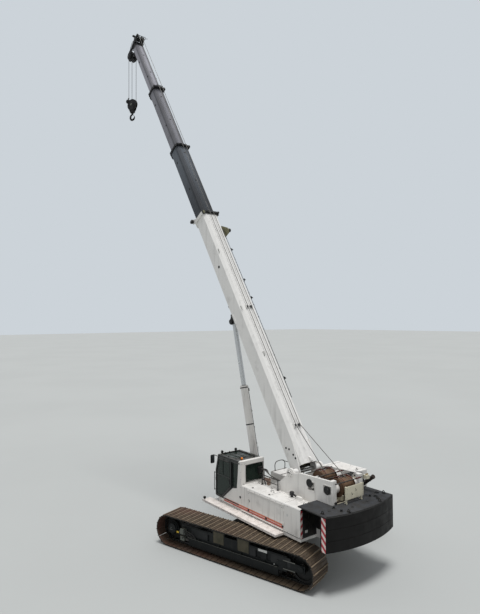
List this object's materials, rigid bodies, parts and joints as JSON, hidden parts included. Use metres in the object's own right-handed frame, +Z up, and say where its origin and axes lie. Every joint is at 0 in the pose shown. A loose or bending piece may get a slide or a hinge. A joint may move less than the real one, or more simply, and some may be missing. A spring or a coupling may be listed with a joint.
{
  "type": "telescopic boom crawler crane",
  "caption": "Crawler crane with a telescopic boom raised and half extended, a slewing upper with cab, winches and counterweight, on extending tracks.",
  "frame": {"origin": "middle of the bounding box on the ground, under the tracks' shoes", "axes": "+Z up; +X forward along the boom and upper; +Y to the cab's side; the undercarriage is turned 16.5 degrees about Z"},
  "size_m": [15.8301, 6.9518, 22.7234],
  "materials": {
    "black_frame": "semi-gloss, dusty",
    "ring_steel": "greased",
    "track_steel": "worn, muddy",
    "worn_steel": "dusty",
    "white_paint": "semi-gloss",
    "walkway_paint": "anti-slip",
    "engine_iron": "matt",
    "black_trim": "matt",
    "black_weight": "semi-gloss paint",
    "grey_deck": "matt",
    "cream_paint": "matt",
    "cab_black": "gloss",
    "tinted_glass": "tinted",
    "seat_cloth": "woven",
    "grey_plastic": "matt",
    "winch_rope": "rusty rope on a drum",
    "chrome_rod": "polished",
    "pin_steel": "machined",
    "boom_dark_grey": "semi-gloss",
    "boom_mid_grey": "semi-gloss",
    "boom_light_grey": "semi-gloss",
    "black_boom": "semi-gloss",
    "sheave_steel": "greased",
    "wire_rope": "stranded"
  },
  "bodies": {
    "undercarriage": {"carbody": "black_frame", "slewing_ring": "ring_steel"},
    "left_track": {"side_frame_left": "black_frame", "track_left": "track_steel", "drive_left": "worn_steel", "rollers_left": "worn_steel"},
    "right_track": {"side_frame_right": "black_frame", "track_right": "track_steel", "drive_right": "worn_steel", "rollers_right": "worn_steel"},
    "upper": {"deck": "white_paint", "walkway_left": "walkway_paint", "walkway_right": "walkway_paint", "winch_frame": "white_paint", "left_housing": "white_paint", "right_housing": "white_paint", "engine": "engine_iron", "exhaust": "black_trim", "fuel_tank": "white_paint", "counterweight": "black_weight", "counterweight_deck": "grey_deck", "rear_plate": "cream_paint", "cab_frame": "cab_black", "cab_back": "white_paint", "cab_glass": "tinted_glass", "cab_seat": "seat_cloth", "cab_console": "grey_plastic", "handrails": "black_trim"},
    "cab_door": {"cab_door": "cab_black", "door_glass": "tinted_glass"},
    "left_door": {"left_door": "white_paint"},
    "right_door": {"right_door": "white_paint"},
    "main_winch": {"main_winch": "winch_rope"},
    "aux_winch": {"aux_winch": "winch_rope"},
    "boom_base": {"boom_base": "white_paint", "base_collar": "black_boom", "foot_pin": "pin_steel", "lug_pin": "pin_steel"},
    "boom_inner": {"boom_inner": "boom_dark_grey", "inner_collar": "black_boom"},
    "boom_outer": {"boom_outer": "boom_mid_grey", "outer_collar": "black_boom"},
    "boom_tip": {"boom_tip": "boom_light_grey", "boom_head": "black_boom"},
    "head_sheaves": {"head_sheaves": "sheave_steel"},
    "idler_sheaves": {"idler_sheaves": "sheave_steel"},
    "lift_rod": {"lift_rod": "chrome_rod"},
    "lift_barrel": {"lift_barrel": "white_paint"},
    "hoist_line": {"hoist_falls": "wire_rope"},
    "hook_block": {"hook_block": "black_boom"},
    "block_sheave": {"block_sheave": "sheave_steel"},
    "hook": {"hook": "black_boom"}
  },
  "joints": [
    {"name": "slew", "type": "hinge", "parent": "undercarriage", "child": "upper", "pos_m": [-3.6672, 0, 1.105], "axis": [0, 0, 1], "continuous": true},
    {"name": "left_track_extend", "type": "slide", "parent": "undercarriage", "child": "left_track", "axis": [-0.284, 0.9588, 0], "range_m": [-0.96, 0]},
    {"name": "right_track_extend", "type": "slide", "parent": "undercarriage", "child": "right_track", "axis": [0.284, -0.9588, 0], "range_m": [-0.96, 0]},
    {"name": "luff", "type": "hinge", "parent": "upper", "child": "boom_base", "pos_m": [-5.3222, 0, 2.725], "axis": [0, -1, 0], "range_deg": [-57.8, 22.2]},
    {"name": "telescope_1", "type": "slide", "parent": "boom_base", "child": "boom_inner", "axis": [0.5329, 0, 0.8462], "range_m": [-3.76, 3.85]},
    {"name": "telescope_2", "type": "slide", "parent": "boom_inner", "child": "boom_outer", "axis": [0.5329, 0, 0.8462], "range_m": [-3.76, 3.85]},
    {"name": "telescope_3", "type": "slide", "parent": "boom_outer", "child": "boom_tip", "axis": [0.5329, 0, 0.8462], "range_m": [-3.76, 3.85]},
    {"name": "cylinder_rod_eye", "type": "hinge", "parent": "boom_base", "child": "lift_rod", "pos_m": [-1.45142, 0, 7.61437], "axis": [0, -1, 0], "range_deg": [-15, 10]},
    {"name": "cylinder_stroke", "type": "slide", "parent": "lift_rod", "child": "lift_barrel", "axis": [-0.236, 0, -0.9717], "range_m": [-2.39, 0.96]},
    {"name": "head_sheaves_spin", "type": "hinge", "parent": "boom_tip", "child": "head_sheaves", "pos_m": [7.6222, 0, 21.96674], "axis": [0, 1, 0], "continuous": true},
    {"name": "idler_sheaves_spin", "type": "hinge", "parent": "boom_tip", "child": "idler_sheaves", "pos_m": [6.7826, 0, 22.56638], "axis": [0, 1, 0], "continuous": true},
    {"name": "line_hang", "type": "hinge", "parent": "boom_tip", "child": "hoist_line", "pos_m": [7.6222, 0, 21.96674], "axis": [0, -1, 0], "range_deg": [-23.2, 58.8]},
    {"name": "hoist", "type": "slide", "parent": "hoist_line", "child": "hook_block", "axis": [0, 0, -1], "range_m": [-1.9, 14], "deforming": ["hoist_falls"]},
    {"name": "block_sheave_spin", "type": "hinge", "parent": "hook_block", "child": "block_sheave", "pos_m": [7.6222, 0, 19.33674], "axis": [-0.3454, 0.9385, 0], "continuous": true},
    {"name": "hook_swivel", "type": "hinge", "parent": "hook_block", "child": "hook", "pos_m": [7.6222, 0, 18.83674], "axis": [0, 0, 1], "continuous": true},
    {"name": "main_winch_spin", "type": "hinge", "parent": "upper", "child": "main_winch", "pos_m": [-6.18726, 0, 2.64], "axis": [0, 1, 0], "continuous": true},
    {"name": "aux_winch_spin", "type": "hinge", "parent": "upper", "child": "aux_winch", "pos_m": [-6.91727, 0, 2.6], "axis": [0, 1, 0], "continuous": true},
    {"name": "cab_door_slide", "type": "slide", "parent": "upper", "child": "cab_door", "axis": [-1, 0, 0], "range_m": [0, 0.45]},
    {"name": "left_door_hinge", "type": "hinge", "parent": "upper", "child": "left_door", "pos_m": [-5.7472, 1.383, 1.61], "axis": [0, 0, 1], "range_deg": [0, 110]},
    {"name": "right_door_hinge", "type": "hinge", "parent": "upper", "child": "right_door", "pos_m": [-6.3472, -1.512, 1.61], "axis": [0, 0, -1], "range_deg": [0, 110]}
  ],
  "couplings": [
    {"joint": "telescope_2", "follows": "telescope_1", "ratio": 1},
    {"joint": "telescope_3", "follows": "telescope_1", "ratio": 1},
    {"joint": "cylinder_rod_eye", "follows": "luff", "ratio": 0.2025},
    {"joint": "cylinder_stroke", "follows": "luff", "m_per_rad": 2.3513},
    {"joint": "line_hang", "follows": "luff", "ratio": -1}
  ]
}
